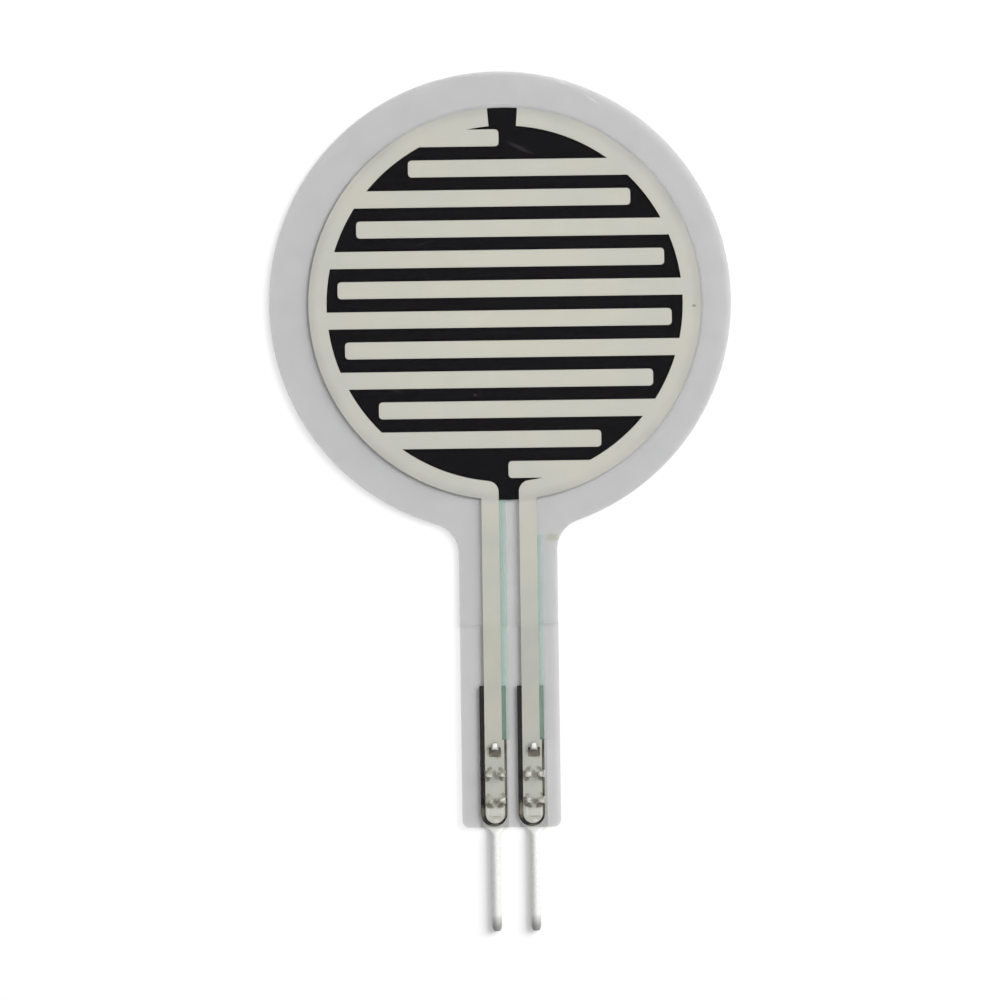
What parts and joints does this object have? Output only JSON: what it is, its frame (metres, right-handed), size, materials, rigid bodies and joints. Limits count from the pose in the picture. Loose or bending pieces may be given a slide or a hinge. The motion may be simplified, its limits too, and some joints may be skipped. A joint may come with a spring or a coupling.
{
  "type": "force sensing resistor",
  "caption": "Round thin-film force sensing resistor: interleaved printed electrodes over force-sensitive carbon ink, with a flat tail and crimped solder pins.",
  "frame": {"origin": "centre of the printed sensing area, on the rear face", "axes": "+Z out of the sensing face, -Y along the tail to the pins, +X to the right"},
  "size_m": [0.03, 0.0558, 0.0006],
  "materials": {
    "front_film": "clear matt polyester film",
    "rear_film": "clear polyester film",
    "spacer": "translucent acrylic adhesive",
    "silver_ink": "screen-printed silver ink, satin",
    "carbon_ink": "screen-printed carbon ink, matt",
    "dielectric": "screen-printed green dielectric, translucent",
    "tinned_metal": "bright tin plate"
  },
  "bodies": {
    "root": {"rear_film": "rear_film", "force_ink": "carbon_ink", "spacer": "spacer", "left_electrode": "silver_ink", "right_electrode": "silver_ink", "left_dielectric": "dielectric", "right_dielectric": "dielectric", "left_carbon_pad": "carbon_ink", "right_carbon_pad": "carbon_ink", "electrode_film": "front_film", "left_contact": "tinned_metal", "right_contact": "tinned_metal"}
  },
  "joints": []
}
